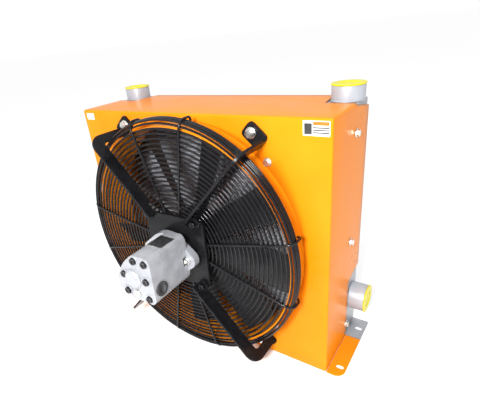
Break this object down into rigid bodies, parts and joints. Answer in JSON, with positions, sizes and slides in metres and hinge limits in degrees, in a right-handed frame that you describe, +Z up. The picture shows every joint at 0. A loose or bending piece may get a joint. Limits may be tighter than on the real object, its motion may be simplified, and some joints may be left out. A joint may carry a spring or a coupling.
{
  "type": "hydraulic oil cooler",
  "caption": "Air-blast hydraulic oil cooler: a bar-and-plate core in a folded sheet housing, with a guarded axial fan driven by a hydraulic gear motor.",
  "frame": {"origin": "centre of the underside of the housing, midway between its front face and the back of the core", "axes": "+Z up, -Y the way the fan and motor face, +X towards the side port"},
  "size_m": [0.6913, 0.401, 0.5763],
  "materials": {
    "orange_paint": "gloss powder coat",
    "black_wire": "gloss powder coat on welded wire",
    "black_paint": "satin powder coat on flat bar and plate",
    "fan_plastic": "moulded glass-filled plastic",
    "core_aluminium": "brazed mill finish, dull",
    "motor_aluminium": "bright cast and shot-blasted",
    "yellow_plastic": "soft moulded polyethylene",
    "black_plastic": "soft moulded plug",
    "zinc_steel": "bright zinc plate",
    "black_steel": "black oxide",
    "gear_steel": "ground steel",
    "bearing_bronze": "machined bearing bronze",
    "seal_rubber": "nitrile rubber"
  },
  "bodies": {
    "cooler": {"arm_bolt_bottom_left": "zinc_steel", "arm_bolt_bottom_right": "zinc_steel", "arm_bolt_top_left": "zinc_steel", "arm_bolt_top_right": "zinc_steel", "bearing_block_front": "bearing_bronze", "bearing_block_rear": "bearing_bronze", "bracket_arm_bottom_left": "black_paint", "bracket_arm_bottom_right": "black_paint", "bracket_arm_top_left": "black_paint", "bracket_arm_top_right": "black_paint", "collar_bolt_bottom_left": "zinc_steel", "collar_bolt_bottom_right": "zinc_steel", "collar_bolt_top_left": "zinc_steel", "collar_bolt_top_right": "zinc_steel", "core_bar_bottom": "core_aluminium", "core_bar_top": "core_aluminium", "core_foot_left": "core_aluminium", "core_foot_right": "core_aluminium", "core_tube_block": "core_aluminium", "fan_collar": "orange_paint", "fan_housing": "orange_paint", "foot_flange_left": "orange_paint", "foot_flange_right": "orange_paint", "header_tank_left": "core_aluminium", "header_tank_right": "core_aluminium", "motor_cover_screw_1": "black_steel", "motor_cover_screw_2": "black_steel", "motor_cover_screw_3": "black_steel", "motor_cover_screw_4": "black_steel", "motor_cover_screw_5": "black_steel", "motor_cover_screw_6": "black_steel", "motor_drain_plug": "zinc_steel", "motor_end_cover": "motor_aluminium", "motor_flange_bolt_left": "zinc_steel", "motor_flange_bolt_right": "zinc_steel", "motor_front_cover": "motor_aluminium", "motor_gear_housing": "motor_aluminium", "motor_plate": "black_paint", "motor_port_plug_left": "black_plastic", "motor_port_plug_right": "black_plastic", "motor_spacer": "black_paint", "port_boss_side": "core_aluminium", "port_boss_top_left": "core_aluminium", "port_boss_top_right": "core_aluminium", "shaft_seal": "seal_rubber", "side_bolt_left_high": "zinc_steel", "side_bolt_left_low": "zinc_steel", "side_bolt_left_mid": "zinc_steel", "side_bolt_right_high": "zinc_steel", "side_bolt_right_low": "zinc_steel", "side_bolt_right_mid": "zinc_steel", "wire_guard": "black_wire"},
    "fan_rotor": {"drive_shaft_gear": "gear_steel", "fan_impeller": "fan_plastic", "fan_hub_bush": "zinc_steel", "fan_end_screw": "zinc_steel"},
    "idler": {"idler_gear": "gear_steel"},
    "cap_top_left": {"port_cap_top_left": "yellow_plastic"},
    "cap_top_right": {"port_cap_top_right": "yellow_plastic"},
    "cap_side": {"port_cap_side": "yellow_plastic"}
  },
  "joints": [
    {"name": "fan_spin", "type": "hinge", "parent": "cooler", "child": "fan_rotor", "pos_m": [0, -0.1055, 0.2735], "axis": [0, 1, 0], "continuous": true},
    {"name": "idler_spin", "type": "hinge", "parent": "cooler", "child": "idler", "pos_m": [0, -0.236, 0.2471], "axis": [0, 1, 0], "continuous": true},
    {"name": "cap_top_left_pull", "type": "slide", "parent": "cooler", "child": "cap_top_left", "axis": [0, 0, 1], "range_m": [0, 0.04]},
    {"name": "cap_top_right_pull", "type": "slide", "parent": "cooler", "child": "cap_top_right", "axis": [0, 0, 1], "range_m": [0, 0.04]},
    {"name": "cap_side_pull", "type": "slide", "parent": "cooler", "child": "cap_side", "axis": [1, 0, 0], "range_m": [0, 0.04]}
  ],
  "couplings": [
    {"joint": "idler_spin", "follows": "fan_spin", "ratio": -1}
  ]
}
